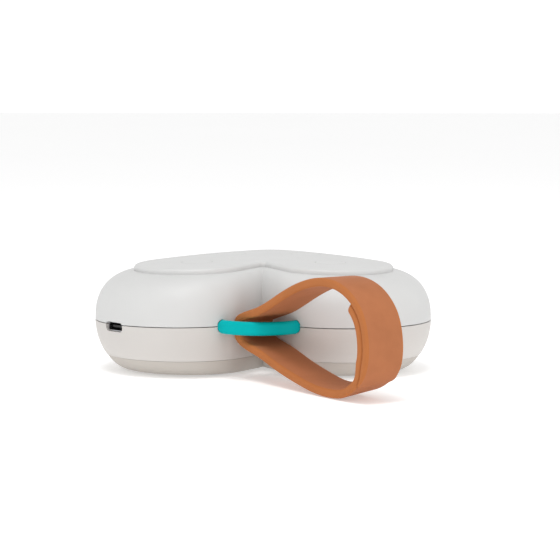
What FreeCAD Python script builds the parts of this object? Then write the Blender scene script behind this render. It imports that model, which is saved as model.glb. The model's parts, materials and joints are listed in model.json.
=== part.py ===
"""Motor unit of a breast pump: a heart-shaped pebble with a wrist strap.

Frame: millimetres, +Z up, the strap bar at the front (-Y), the tube outlet at the rear tip (+Y).
The origin is the middle of the housing in plan, on the plane that the foot pads rest on.
"""
import FreeCAD, Part
import os
from math import acos, atan2, cos, hypot, pi, radians, sin, tan

V = FreeCAD.Vector
X, Y, Z = V(1, 0, 0), V(0, 1, 0), V(0, 0, 1)

# ---------------------------------------------------------------- housing, seen from above
LOBE_X = 28.9            # lobe centre to the middle plane, at the parting line
LOBE_Y = -23.9
LOBE_R = 31.1            # outer arc of a lobe
CLEFT_R = 26.8           # inner arc of a lobe, towards the notch
TIP_Y = 55.0
TIP_R = 16.0
RIM_LOBE_X = 24.2        # the same sizes where the top panel meets the shell
RIM_LOBE_Y = -19.9
RIM_LOBE_R = 22.4
RIM_CLEFT_R = 19.4
RIM_TIP_STEP = 15.2      # from the housing's tip forward to the rim's
RIM_TIP_R = 8.0
CLEFT_ANGLE = 59.6       # how far the inner arc turns from the front before it runs straight

# ---------------------------------------------------------------- housing, seen from the side
PARTING_Z = 18.35
PARTING_GAP = 0.3        # shadow gap between the shells
BAND_Z = 6.1             # seam between lower shell and base cover
BAND_GAP = 0.12
FLOOR_Z = 0.6            # underside of the base cover
RIM_Z = 36.7             # shell surface under the middle of the panel
DOME_R = 1032.0
DOME_Y = -2.0
UPPER_INSET = 15.4       # plan inset where the upper profile turns level
UPPER_POWER = 2.5
LOWER_INSET = 13.0
LOWER_POWER = 1.9
RIM_INSET = 13.4         # plan inset at which the outline has become the rim outline
BASE_PROFILE = ((0.0, 3.9), (2.1, 5.4), (3.7, 7.0), (4.8, 8.7))   # (below the seam, inset)
BASE_FLAT_INSET = 10.6
WALL = 2.4
CEILING = 1.6            # shell skin under the panel
POCKET_DEPTH = 2.3       # panel pocket, below RIM_Z
BASE_FLOOR = 1.8
LAP_HEIGHT = 2.0         # tongue of the lower shell inside the upper shell
LAP_WALL = 1.1
LAP_CLEARANCE = 0.12
LEDGE_ROOT = 0.6         # the tongue's root reaches this far into the wall

# ---------------------------------------------------------------- top panel and what is in it
PANEL_RISE = 1.9
PANEL_SKIN = 2.0
PANEL_WALL = 2.2
PANEL_EDGE_R = 1.3
PANEL_NOTCH_R = 1.2
PANEL_GAP = 0.06
GASKET = 0.15
BUTTON_R = 5.5
BUTTON_GAP = 0.15
BUTTON_FLANGE = 0.8
BUTTON_FLANGE_T = 0.8
BUTTON_TRAVEL = 0.5
BUTTON_SITES = {"power_button": (24.0, -20.0), "mode_button": (-24.0, -20.0),
                "plus_button": (14.0, 12.0), "minus_button": (-14.0, 12.0)}
STEM_R = 1.6
STEM_FIT = 0.08
WINDOW_X, WINDOW_Y = 24.0, 11.0
WINDOW_AT = -8.0
WINDOW_T = 1.2
WINDOW_GAP = 0.06
WINDOW_CORNER = 2.0
DISPLAY = (22.0, 9.0, 2.0)

# ---------------------------------------------------------------- strap bar and strap
RING_R = 17.5            # outer radius of the bar's arc
RING_Y = -40.3
RING_DEPTH = 2.6
RING_HEIGHT = 4.8
RING_EDGE_R = 1.25
RING_SHOWN = 14.3        # half the length that shows, up to the shells
RING_END_R = 2.3         # its round ends, seen from the front
TANG_INSET = 0.3         # the hidden ends run on to the eyes as thinner tangs
TANG_HEIGHT = 2.4
TANG_EDGE_R = 0.5
RING_GAP = 0.15
RING_END = 8.0           # degrees the arc runs on behind its widest point
EYE_R = 4.0
STRAP_T = 2.9
STRAP_W = 15.0
STRAP_YAW = 36.5         # the strap leans this far from straight ahead towards +X
STRAP_BACK = (-9.2, -47.5)   # near corner of the strap where it turns behind the bar
STRAP_OUTLINE = ((0.0, 17.6), (0.9, 21.2), (4.2, 23.1), (13.7, 25.9), (27.5, 31.9), (38.3, 36.3),
                 (47.0, 38.6), (56.0, 39.3), (64.3, 37.9), (71.4, 34.2), (76.4, 28.6), (78.8, 20.6),
                 (78.2, 12.4), (74.6, 6.2), (67.6, 1.6), (58.5, 0.1), (47.2, 0.8), (38.3, 2.5),
                 (24.8, 5.9), (13.7, 9.2), (4.2, 11.7), (0.9, 13.9))     # (reach, height)
STRAP_LAP = (60.0, 4.0, 31.0)    # the two ends lie on each other beyond this reach, between these heights
STRAP_LAP_RAMP = 3.5     # height over which each end of the lap thins out
STRAP_SAMPLES = 56

# ---------------------------------------------------------------- screws and pads
SCREW_R = 1.1
SCREW_HEAD_R = 2.1
SCREW_HEAD_H = 1.4
SCREW_FIT = 0.06
SCREW_PASS = 0.15        # hole over the screw's radius, where the screw passes through
HEAD_ROOM = 0.2          # counterbore over the head's radius
HEAD_Z = 0.9             # underside of a housing screw's head
SCREW_TOP_Z = 27.0
POST_R = 3.3
POST_ROOM = 0.3          # hole in the board round a post
POST_SITES = [(16.5, -38.5), (47.5, -21.0), (11.0, 31.0)]    # mirrored in X
PAD_R = 4.5
PAD_T = 1.2
PAD_SITES = [(27.0, -33.0), (16.0, 20.0)]                    # mirrored in X, with one more at the origin

# ---------------------------------------------------------------- electronics
BOARD_Z = 29.3
BOARD_T = 1.2
BOARD_INSET = 2.8
BOSS_R = 2.2
BOARD_SCREW_R = 0.8
BOARD_SCREW_HEAD = (1.6, 1.0)    # radius, height
BOARD_SCREW_GRIP = 1.8
PILLAR_R = 1.5
BOARD_SCREWS = [(31.0, -10.0), (10.0, 20.0)]                 # mirrored in X
SWITCH_W, SWITCH_H = 6.0, 1.6
PLUNGER_R = 1.3
SOCKET_ANGLE = 46.0      # from straight ahead, towards the left
SOCKET_DROP = 0.85       # its middle below the parting line
SOCKET_W, SOCKET_H, SOCKET_L = 9.0, 3.25, 7.4
SOCKET_WALL = 0.3
SOCKET_CORNER = 1.3
SOCKET_GAP = 0.12
SOCKET_RECESS = 1.5
SOCKET_BOARD = (22.0, 16.0, 1.2)    # along the socket, across, thick
SOCKET_BOARD_R = 25.5    # its front edge, from the lobe centre
CELL = (22.0, 36.0, 10.5)
CELL_AT = (31.5, -22.0)
CELL_Z = 5.0
CELL_FOAM = 0.8

# ---------------------------------------------------------------- vacuum pump, shaft along X
PUMP_Y, PUMP_Z = 7.0, 16.5
MOTOR_R, MOTOR_WALL = 10.2, 0.8
MOTOR_L = 22.0
MOTOR_X = -1.0           # drive end of the motor can
CAP_T = 1.6
SHAFT_R = 1.0
SHAFT_FIT = 0.04
BUSH_R = 2.4
ARMATURE_R, MAGNET_R = 6.6, 7.2
FRAME_R, FRAME_WALL, FRAME_L = 11.0, 1.3, 10.5
ECCENTRIC_R, ECCENTRIC_T = 3.6, 3.0
ECCENTRIC_X = -6.0
CRANK_OFFSET, CRANK_R = 0.6, 0.7
CRANK_PLAY = 0.15
PUMP_SCREW_R = 0.7
PUMP_SCREW_PITCH = 9.0
DIAPHRAGM_T, VALVE_T, HEAD_T = 1.2, 2.0, 4.0
CHAMBER_PITCH = 5.8
CHAMBERS = 3
NOZZLE_BORE, NOZZLE_L = 1.0, 6.0

# ---------------------------------------------------------------- vent valve, plunger along Z
VALVE_AT = (30.0, 1.5)
VALVE_W = 9.0
VALVE_Z = 4.6
VALVE_FRAME_H = 14.0
VALVE_PLATE = 1.0
COIL_R, PLUNGE_R, PLUNGE_FIT = 3.4, 1.6, 0.07
PLUNGE_TRAVEL = 0.8
SPRING_SQUEEZED = 1.8    # height left to the spring when the plunger is pulled down
SPRING_WIRE, SPRING_R, SPRING_SEAT_R = 0.2, 1.0, 1.3
SPRING_POCKET = 0.8      # depth of the spring's seat in the plunger
SEAL_T = 0.8
PLUNGE_SPACE = 0.05      # free height over the plunger's seal
VALVE_HEAD_Z = 26.2

# ---------------------------------------------------------------- hoses and leads
HOSE_Z = 23.2
HOSE_R, HOSE_BORE = 2.6, 1.9
HOSE_CORNER_CUT = 3.05   # how much nearer the shell a corner point may stand, as its arc cuts it off
TEE_ARM = 8.0
TEE_BODY = 4.0           # hose ends stand this far from the tee's middle
HOSE_STOP = 0.6          # and this far from any other shoulder
PORT_R, PORT_BORE, PORT_SEAT = 4.2, 2.6, 6.0
PORT_WALL = 6.0          # thickness of the shell at the port
PORT_SEAL, PORT_FLANGE_R = 1.0, 5.8
PORT_PROUD = 0.4
PORT_TAIL = 2.4          # body of the fitting behind its flange
PORT_DEPTH = 8.0
PORT_BARB_L = 10.0
PORT_FLANGE_T = 1.6
PIPE_X = 29.4
LEAD_R = 0.8

FIT = 0.05               # clearance where a fixed piece sits in its pocket
parts = {}


# ---------------------------------------------------------------- small helpers
def box(x0, x1, y0, y1, z0, z1):
    return Part.makeBox(x1 - x0, y1 - y0, z1 - z0, V(x0, y0, z0))


def block(center, size):
    cx, cy, cz = center
    sx, sy, sz = size
    return Part.makeBox(sx, sy, sz, V(cx - sx / 2, cy - sy / 2, cz - sz / 2))


def rod(radius, start, length, axis=Z):
    return Part.makeCylinder(radius, length, V(*start), axis)


def tube(outer, inner, start, length, axis=Z):
    return rod(outer, start, length, axis).cut(rod(inner, start, length, axis))


def both_sides(sites):
    return [(side * x, y) for x, y in sites for side in (-1, 1)]


def fuse(shapes):
    first, rest = shapes[0], shapes[1:]
    return first.multiFuse(rest).removeSplitter() if rest else first


def blend(a, b, t):
    return a + (b - a) * t


# ---------------------------------------------------------------- heart outlines
def heart(t, wall=0.0):
    """Named points and radii of the outline: t 0 at the parting line, 1 at the rim, moved in by wall."""
    x = blend(LOBE_X, RIM_LOBE_X, t)
    y = blend(LOBE_Y, RIM_LOBE_Y, t)
    outer = blend(LOBE_R, RIM_LOBE_R, t)
    cleft = blend(CLEFT_R, RIM_CLEFT_R, t)
    tip_r = blend(TIP_R, RIM_TIP_R, t)
    tip_y = TIP_Y - RIM_TIP_STEP * t - tip_r
    turn = radians(CLEFT_ANGLE)
    cleft_y = y - outer + cleft
    reach = hypot(x, tip_y - y)
    flank = atan2(tip_y - y, -x) - acos((outer - tip_r) / reach)
    return {"x": x, "y": y, "outer": outer - wall, "cleft": cleft - wall, "cleft_y": cleft_y,
            "tip_y": tip_y, "tip_r": tip_r - wall, "turn": turn, "flank": flank}


def heart_stations(h):
    """Right half of the outline as (kind, centre x, centre y, radius, first angle, last angle)."""
    down = -pi / 2
    return (("cleft", h["x"], h["cleft_y"], h["cleft"], down - h["turn"], down),
            ("lobe", h["x"], h["y"], h["outer"], down, h["flank"]),
            ("tip", 0.0, h["tip_y"], h["tip_r"], h["flank"], pi / 2))


def on_arc(station, share):
    x, y, radius, first, last = station[1:]
    a = blend(first, last, share)
    return x + radius * cos(a), y + radius * sin(a)


def notch_point(h):
    x, y = on_arc(heart_stations(h)[0], 0)
    run = x / cos(h["turn"])
    return 0.0, y + run * sin(h["turn"])


def heart_wire(t, wall, z):
    h = heart(t, wall)
    arcs = heart_stations(h)
    edges = []
    for side in (1, -1):
        last = V(*notch_point(h), z)
        for arc in arcs:
            ends = [on_arc(arc, share) for share in (0, 0.5, 1)]
            a, m, b = [V(side * px, py, z) for px, py in ends]
            if last.distanceToPoint(a) > 1e-6:
                edges.append(Part.makeLine(last, a))
            edges.append(Part.Arc(a, m, b).toShape())
            last = b
    return Part.Wire(Part.__sortEdges__(edges))


def heart_prism(t, wall, z0, z1):
    return Part.Face(heart_wire(t, wall, z0)).extrude(V(0, 0, z1 - z0))


def heart_loft(sections, wall):
    """Solid through (z, inset) sections, ruled from each to the next."""
    wires = [heart_wire(inset / RIM_INSET, wall, z) for z, inset in sections]
    return Part.makeLoft(wires, True, False)


def rim_height(x, y):
    return RIM_Z - (x * x + (y - DOME_Y) ** 2) / (2 * DOME_R)


def dome(offset):
    """A ball whose top is the panel's dome moved up by offset."""
    return Part.makeSphere(DOME_R, V(0, DOME_Y, RIM_Z + offset - DOME_R))


# ---------------------------------------------------------------- profiles
def lower_inset(z):
    depth = (PARTING_Z - z) / PARTING_Z
    return LOWER_INSET * (1 - (1 - depth ** LOWER_POWER) ** (1 / LOWER_POWER))


def lower_sections(z0, z1, count):
    steps = [blend(z0, z1, i / (count - 1)) for i in range(count)]
    return [(z, lower_inset(z)) for z in steps]


def upper_share(inset):
    """Height above the parting line as a share of the rim's height."""
    return (1 - (1 - inset / UPPER_INSET) ** UPPER_POWER) ** (1 / UPPER_POWER)


FLANK_SHARES = [i / 7 for i in range(1, 7)]
UPPER_INSETS = (0.0, 0.02, 0.12, 0.4, 0.9, 1.7, 2.8, 4.2, 5.9, 7.8, 9.7, 11.6, 13.4, 14.6)


def half_points(t):
    """Points along the right half of the outline, from the notch round the lobe to the tip."""
    h = heart(t)
    cleft, lobe, tip = heart_stations(h)
    start = notch_point(h)
    first = on_arc(cleft, 0)
    last, tip_start = on_arc(lobe, 1), on_arc(tip, 0)
    points = [(blend(start[0], first[0], s), blend(start[1], first[1], s)) for s in (0, 0.25, 0.5, 0.75)]
    points += [on_arc(cleft, i / 8) for i in range(8)]
    points += [on_arc(lobe, i / 18) for i in range(19)]
    points += [(blend(last[0], tip_start[0], s), blend(last[1], tip_start[1], s)) for s in FLANK_SHARES]
    return points + [on_arc(tip, i / 6) for i in range(7)]


def stations_along(points):
    """Distance along the points as a share of the whole, used to space every section alike."""
    sums = [0.0]
    for a, b in zip(points, points[1:]):
        sums.append(sums[-1] + hypot(b[0] - a[0], b[1] - a[1]))
    return [s / sums[-1] for s in sums]


def smooth_edge(points, shares):
    curve = Part.BSplineCurve()
    curve.interpolate(Points=points, Parameters=shares)
    return curve.toShape()


def domed_section(inset, shares):
    share = upper_share(inset)
    outline = half_points(inset / RIM_INSET)
    right = [V(x, y, blend(PARTING_Z, rim_height(x, y), share)) for x, y in outline]
    left = [V(-p.x, p.y, p.z) for p in reversed(right)]
    back = [1 - s for s in reversed(shares)]
    return Part.Wire([smooth_edge(right, shares), smooth_edge(left, back)])


def raised_edge(edge, z):
    curve = edge.Curve.copy()
    for i in range(1, curve.NbPoles + 1):
        pole = curve.getPole(i)
        curve.setPole(i, V(pole.x, pole.y, z))
    return curve.toShape()


def upper_form():
    """The upper shell's outer form. Straight walls above the rim close it, for the pocket to remove."""
    shares = stations_along(half_points(0))
    sides = Part.makeLoft([domed_section(inset, shares) for inset in UPPER_INSETS], False, False)
    rims = [max(face.Edges, key=lambda e: e.BoundBox.ZMin) for face in sides.Faces]
    feet = [min(face.Edges, key=lambda e: e.BoundBox.ZMax) for face in sides.Faces]
    lids = [raised_edge(e, RIM_Z + PANEL_RISE) for e in rims]
    walls = [Part.makeRuledSurface(rim, lid) for rim, lid in zip(rims, lids)]
    floor = Part.Face(Part.Wire(Part.__sortEdges__(feet)))
    lid = Part.Face(Part.Wire(Part.__sortEdges__(lids)))
    shell = Part.makeShell(sides.Faces + walls + [floor, lid])
    shell.sewShape()
    solid = Part.Solid(shell)
    if solid.Volume < 0:
        solid.reverse()
    return solid


# ---------------------------------------------------------------- heights that follow from the sizes
POCKET_Z = RIM_Z - POCKET_DEPTH
CEILING_Z = POCKET_Z - CEILING
INNER_FLOOR_Z = FLOOR_Z + BASE_FLOOR
BOARD_TOP = BOARD_Z + BOARD_T
SEAM_WALL = WALL + LAP_CLEARANCE + LAP_WALL
NOZZLE_R = HOSE_BORE - FIT
SOCKET_Z = PARTING_Z - SOCKET_DROP
SOCKET_BOARD_TOP = SOCKET_Z - SOCKET_H / 2


def upper_inset(z):
    share = (z - PARTING_Z) / (rim_height(0, TIP_Y) - PARTING_Z)
    return UPPER_INSET * (1 - (1 - share ** UPPER_POWER) ** (1 / UPPER_POWER))


def flank_y(x, wall, z):
    """Where the straight flank, moved in by wall, stands at this x and height."""
    lobe, tip = heart_stations(heart(upper_inset(z) / RIM_INSET, wall))[1:]
    (x0, y0), (x1, y1) = on_arc(lobe, 1), on_arc(tip, 0)
    return blend(y0, y1, (x - x0) / (x1 - x0))


TEE_Y = flank_y(VALVE_AT[0], WALL + HOSE_R - HOSE_CORNER_CUT, HOSE_Z + HOSE_R)


# ---------------------------------------------------------------- cutters shared by the shells
def arc_sweep(inset, half, corner):
    """A rounded section, this far inside the bar's depth, swept from one eye to the other."""
    inner, outer = RING_R - RING_DEPTH + inset, RING_R - inset
    solid = box(inner, outer, RING_Y - 0.5, RING_Y + 0.5, PARTING_Z - half, PARTING_Z + half)
    lengthwise = [e for e in solid.Edges if abs(e.tangentAt(e.FirstParameter).y) > 0.9]
    section = Part.Face(solid.makeFillet(corner, lengthwise).slice(Y, RING_Y)[0])
    start = section.rotate(V(0, RING_Y, 0), Z, RING_END)
    return start.revolve(V(0, RING_Y, 0), Z, -180 - 2 * RING_END)


def bar_outline(gap):
    """What shows of the bar, seen from the front: a bar with round ends, as a prism along Y."""
    reach, half = RING_SHOWN + gap, RING_HEIGHT / 2 + gap
    solid = box(-reach, reach, RING_Y - 2 * RING_R, RING_Y + RING_R, PARTING_Z - half, PARTING_Z + half)
    lengthwise = [e for e in solid.Edges if abs(e.tangentAt(e.FirstParameter).y) > 0.9]
    return solid.makeFillet(RING_END_R, lengthwise)


def bar_arc(gap):
    """The bar's arc through the front, with the tangs that run on to the eyes."""
    shown = arc_sweep(-gap, RING_HEIGHT / 2 + gap, RING_EDGE_R).common(bar_outline(gap))
    return shown.fuse(arc_sweep(TANG_INSET - gap, TANG_HEIGHT / 2 + gap, TANG_EDGE_R))


def eye_sites():
    return both_sides(POST_SITES[:1])


def ring_space():
    eyes = [rod(EYE_R + RING_GAP, (x, y, PARTING_Z - RING_HEIGHT / 2 - FIT), RING_HEIGHT + 2 * FIT)
            for x, y in eye_sites()]
    return [bar_arc(RING_GAP)] + eyes


def socket_place(shape):
    """Move a shape drawn along +X from the lobe centre to the socket's place."""
    shape.rotate(V(0, 0, 0), Z, -90 - SOCKET_ANGLE)
    shape.translate(V(-LOBE_X, LOBE_Y, 0))
    return shape


def rounded_bar(x0, x1, width, height, radius, z):
    solid = box(x0, x1, -width / 2, width / 2, z - height / 2, z + height / 2)
    lengthwise = [e for e in solid.Edges if abs(e.tangentAt(e.FirstParameter).x) > 0.9]
    return solid.makeFillet(radius, lengthwise)


def socket_space():
    hole = rounded_bar(LOBE_R - 9, LOBE_R + 6, SOCKET_W + 2 * SOCKET_GAP, SOCKET_H + 2 * SOCKET_GAP,
                       SOCKET_CORNER + SOCKET_GAP, SOCKET_Z)
    return [socket_place(hole)]


def port_space():
    return [rod(PORT_R + FIT, (0, TIP_Y + 4, HOSE_Z), PORT_WALL + 8, -Y)]


def port_seat(gap):
    return rod(PORT_SEAT + gap, (0, TIP_Y - PORT_WALL - gap, HOSE_Z), PORT_WALL, Y)


def rim_plug(gap, z0, z1):
    """Prism of the rim outline with a rounded notch: the top panel, and the pocket it sits in."""
    body = heart_prism(1, gap, z0, z1)
    upright = [e for e in body.Edges if abs(e.tangentAt(e.FirstParameter).z) > 0.9]
    crease = min(upright, key=lambda e: hypot(e.BoundBox.Center.x, e.BoundBox.Center.y - RIM_LOBE_Y))
    return body.makeFillet(PANEL_NOTCH_R + gap, [crease])


# ---------------------------------------------------------------- shells
def upper_shell():
    form = upper_form()
    zs = [blend(PARTING_Z - 1, CEILING_Z, i / 6) for i in range(7)]
    hollow = heart_loft([(z, upper_inset(max(z, PARTING_Z))) for z in zs], WALL)
    roof = CEILING_Z + FIT
    posts = [rod(POST_R, (x, y, PARTING_Z), roof - PARTING_Z) for x, y in both_sides(POST_SITES)]
    bosses = [rod(BOSS_R, (x, y, BOARD_TOP), roof - BOARD_TOP) for x, y in both_sides(BOARD_SCREWS)]
    body = form.cut([hollow, rim_plug(0, POCKET_Z, RIM_Z + 20)])
    body = body.fuse([p.common(form) for p in posts + bosses + [port_seat(0)]])
    holes = [rod(SCREW_R + SCREW_FIT, (x, y, PARTING_Z - 1), SCREW_TOP_Z + 1 - PARTING_Z + 1)
             for x, y in both_sides(POST_SITES)]
    holes += [rod(BOARD_SCREW_R + SCREW_FIT, (x, y, BOARD_TOP - 1), 1 + BOARD_SCREW_GRIP + 0.4)
              for x, y in both_sides(BOARD_SCREWS)]
    holes += [rod(STEM_R + STEM_FIT, (x, y, CEILING_Z - 1), CEILING + 2) for x, y in BUTTON_SITES.values()]
    holes += [block((0, WINDOW_AT, POCKET_Z), (DISPLAY[0] + 0.6, DISPLAY[1] + 0.6, 4 * CEILING))]
    below = box(-90, 90, -90, 90, PARTING_Z - 2, PARTING_Z + PARTING_GAP / 2)
    return body.cut(holes + ring_space() + socket_space() + port_space() + [below])


def lap_lip(t, z0, z1):
    """Tongue of one shell inside the next."""
    outer = heart_prism(t, WALL + LAP_CLEARANCE, z0, z1)
    return outer.cut(heart_prism(t, SEAM_WALL, z0 - 1, z1 + 1))


def lower_shell():
    top = PARTING_Z - PARTING_GAP / 2
    form = heart_loft(lower_sections(BAND_Z, top, 7), 0)
    hollow = heart_loft(lower_sections(BAND_Z - 1, top, 7), WALL)
    hollow = hollow.fuse(heart_prism(0, WALL, top - FIT, top + 1))
    body = form.cut(hollow)
    ledge = heart_prism(0, WALL - LEDGE_ROOT, top - LAP_HEIGHT, top)
    ledge = ledge.cut(heart_prism(0, SEAM_WALL, 0, PARTING_Z + 9))
    body = body.fuse([ledge.common(form), lap_lip(0, top - FIT, PARTING_Z + LAP_HEIGHT)])
    return body.cut(ring_space() + socket_space() + [port_seat(RING_GAP)])


def base_sections():
    top = BAND_Z - BAND_GAP
    sections = [(top - depth, inset) for depth, inset in BASE_PROFILE]
    return sections + [(FLOOR_Z, BASE_FLAT_INSET)]


def base_cover():
    top = BAND_Z - BAND_GAP
    form = heart_loft(base_sections(), 0)
    inner = BASE_PROFILE[2][1]
    hollow = heart_loft([(INNER_FLOOR_Z, inner), (top + FIT, BASE_PROFILE[0][1])], SEAM_WALL)
    body = form.cut(hollow)
    sites = both_sides(POST_SITES)
    posts = [rod(POST_R, (x, y, INNER_FLOOR_Z - FIT), PARTING_Z - INNER_FLOOR_Z) for x, y in sites]
    lip = lap_lip(BASE_PROFILE[0][1] / RIM_INSET, top - FIT, BAND_Z + LAP_HEIGHT)
    body = body.fuse(posts + [lip] + socket_pillars() + cell_ribs())
    cuts = [rod(SCREW_R + SCREW_PASS, (x, y, -1), PARTING_Z + 2) for x, y in sites]
    cuts += [rod(SCREW_HEAD_R + HEAD_ROOM, (x, y, -1), 1 + HEAD_Z + SCREW_HEAD_H) for x, y in sites]
    cuts += [rod(PAD_R + FIT, (x, y, -1), 1 + PAD_T) for x, y in pad_sites()]
    return body.cut(cuts + ring_space())


def pad_sites():
    return both_sides(PAD_SITES) + [(0.0, 0.0)]


def socket_pillars():
    length, width, thick = SOCKET_BOARD
    foot_z = SOCKET_BOARD_TOP - thick
    pillars = [rod(PILLAR_R, (SOCKET_BOARD_R - inset, side * (width / 2 - 2), INNER_FLOOR_Z - FIT),
                   foot_z - INNER_FLOOR_Z + FIT) for inset in (6, length - 3) for side in (-1, 1)]
    return [socket_place(p) for p in pillars]


def cell_ribs():
    x, y = CELL_AT
    size = (1.6, CELL[1] - 8, CELL_Z - INNER_FLOOR_Z)
    return [block((x + side * 7, y, (INNER_FLOOR_Z + CELL_Z) / 2 - FIT), size) for side in (-1, 1)]


# ---------------------------------------------------------------- top panel, buttons, window
def button_ceiling(x, y):
    """Height of the panel's underside over a button."""
    return rim_height(x, y) + PANEL_RISE - PANEL_SKIN


def window_block(gap, z0, z1):
    solid = block((0, WINDOW_AT, (z0 + z1) / 2), (WINDOW_X + 2 * gap, WINDOW_Y + 2 * gap, z1 - z0))
    upright = [e for e in solid.Edges if abs(e.tangentAt(e.FirstParameter).z) > 0.9]
    return solid.makeFillet(WINDOW_CORNER + gap, upright)


def top_panel():
    bottom = POCKET_Z + GASKET
    body = rim_plug(PANEL_GAP, bottom, RIM_Z + 10).common(dome(PANEL_RISE))
    rim = [e for e in body.Edges if e.BoundBox.ZMin > RIM_Z - 1 and e.BoundBox.ZMax > RIM_Z + 0.5
           and e.BoundBox.ZMax - e.BoundBox.ZMin < 1.5]
    body = body.makeFillet(PANEL_EDGE_R, rim)
    hollow = heart_prism(1, PANEL_WALL, bottom - 1, RIM_Z + 10).common(dome(PANEL_RISE - PANEL_SKIN))
    holes = [rod(BUTTON_R + BUTTON_GAP, (x, y, bottom), 10) for x, y in BUTTON_SITES.values()]
    sight = block((0, WINDOW_AT, RIM_Z), (WINDOW_X - 2, WINDOW_Y - 2, 10))
    lens = window_block(WINDOW_GAP, RIM_Z - 1, RIM_Z + 10).cut(dome(PANEL_RISE - WINDOW_T - FIT))
    return body.cut([hollow, sight, lens] + holes)


def display_window():
    lens = window_block(0, RIM_Z - 1, RIM_Z + 10).common(dome(PANEL_RISE))
    return lens.cut(dome(PANEL_RISE - WINDOW_T))


def panel_gasket():
    outer = heart_prism(1, PANEL_GAP + 0.2, POCKET_Z, POCKET_Z + GASKET)
    return outer.cut(heart_prism(1, PANEL_WALL, POCKET_Z - 1, POCKET_Z + 1))


def button(x, y):
    top = button_ceiling(x, y) - FIT
    low = top - BUTTON_FLANGE_T
    cap = rod(BUTTON_R, (x, y, low), 10).common(dome(PANEL_RISE))
    flange = rod(BUTTON_R + BUTTON_FLANGE, (x, y, low), BUTTON_FLANGE_T)
    flange = flange.common(dome(PANEL_RISE - PANEL_SKIN - FIT))
    stem = rod(STEM_R, (x, y, plunger_top()), low + FIT - plunger_top())
    return cap.fuse([flange, stem]).removeSplitter()


def plunger_top():
    return BOARD_TOP + SWITCH_H + BUTTON_TRAVEL + FIT


def switch_plunger(x, y):
    low = BOARD_TOP + 0.35
    return rod(PLUNGER_R, (x, y, low + BUTTON_TRAVEL), plunger_top() - low - BUTTON_TRAVEL)


def switch_body(x, y):
    body = block((x, y, BOARD_TOP + SWITCH_H / 2), (SWITCH_W, SWITCH_W, SWITCH_H))
    return body.cut(rod(PLUNGER_R + STEM_FIT, (x, y, BOARD_TOP + 0.3), SWITCH_H))


def add_panel():
    parts["top_panel"] = top_panel()
    parts["display_window"] = display_window()
    parts["panel_gasket"] = panel_gasket()
    for name, (x, y) in BUTTON_SITES.items():
        parts[name] = button(x, y)
        parts[name.replace("button", "switch_plunger")] = switch_plunger(x, y)
    parts["switch_bodies"] = Part.makeCompound([switch_body(x, y) for x, y in BUTTON_SITES.values()])


# ---------------------------------------------------------------- strap bar and strap
def strap_ring():
    eyes = [rod(EYE_R, (x, y, PARTING_Z - RING_HEIGHT / 2), RING_HEIGHT) for x, y in eye_sites()]
    holes = [rod(SCREW_R + SCREW_PASS, (x, y, PARTING_Z - 5), 10) for x, y in eye_sites()]
    return fuse([bar_arc(0)] + eyes).cut(holes)


def strap_place(reach, height, across):
    a = radians(STRAP_YAW)
    x = STRAP_BACK[0] + reach * sin(a) + across * cos(a)
    y = STRAP_BACK[1] - reach * cos(a) + across * sin(a)
    return V(x, y, height)


def closed_curve(points):
    curve = Part.BSplineCurve()
    curve.interpolate(Points=points, PeriodicFlag=True)
    return curve


def strap_thickness(point):
    reach, low, high = STRAP_LAP
    if point.x < reach:
        return STRAP_T
    layer = min(point.y - low, high - point.y) / STRAP_LAP_RAMP
    return STRAP_T * (1 + min(1.0, max(0.0, layer)))


def strap_wire(outline):
    return Part.Wire([closed_curve([strap_place(p.x, p.y, 0) for p in outline]).toShape()])


def strap():
    """One band, closed on itself by the lap at its far end."""
    curve = closed_curve([V(u, z, 0) for u, z in STRAP_OUTLINE])
    outer, inner = [], []
    for i in range(STRAP_SAMPLES):
        at = blend(curve.FirstParameter, curve.LastParameter, i / STRAP_SAMPLES)
        place, along = curve.value(at), curve.tangent(at)[0]
        outer.append(place)
        inner.append(place + V(along.y, -along.x, 0) * strap_thickness(place))
    across = strap_place(0, 0, STRAP_W) - strap_place(0, 0, 0)
    band = Part.Face(strap_wire(outer)).extrude(across)
    return band.cut(Part.Face(strap_wire(inner)).extrude(across))


# ---------------------------------------------------------------- fasteners and pads
def screw(x, y, z, length, shank, head):
    """Pan screw with a cross recess: its head starts at z, and its shank runs up from it."""
    head_r, head_h = head
    body = rod(head_r, (x, y, z), head_h).fuse(rod(shank, (x, y, z + head_h - FIT), length))
    long, short = head_r * 1.2, head_r * 0.3
    slots = [block((x, y, z), size) for size in ((long, short, head_h), (short, long, head_h))]
    return body.cut(slots)


def add_fasteners():
    head = (SCREW_HEAD_R, SCREW_HEAD_H)
    length = SCREW_TOP_Z - 0.5 - HEAD_Z - SCREW_HEAD_H
    parts["housing_screws"] = Part.makeCompound(
        [screw(x, y, HEAD_Z, length, SCREW_R, head) for x, y in both_sides(POST_SITES)])
    small = BOARD_TOP + BOARD_SCREW_GRIP - BOARD_Z
    parts["board_screws"] = Part.makeCompound(
        [screw(x, y, BOARD_Z - BOARD_SCREW_HEAD[1], small, BOARD_SCREW_R, BOARD_SCREW_HEAD)
         for x, y in both_sides(BOARD_SCREWS)])
    parts["foot_pads"] = Part.makeCompound([rod(PAD_R, (x, y, 0), PAD_T) for x, y in pad_sites()])


# ---------------------------------------------------------------- electronics
def main_board():
    board = heart_prism(1, BOARD_INSET, BOARD_Z, BOARD_TOP)
    holes = [rod(POST_R + POST_ROOM, (x, y, 0), 60) for x, y in both_sides(POST_SITES)]
    holes += [rod(BOARD_SCREW_R + SCREW_PASS, (x, y, 0), 60) for x, y in both_sides(BOARD_SCREWS)]
    return board.cut(holes)


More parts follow.
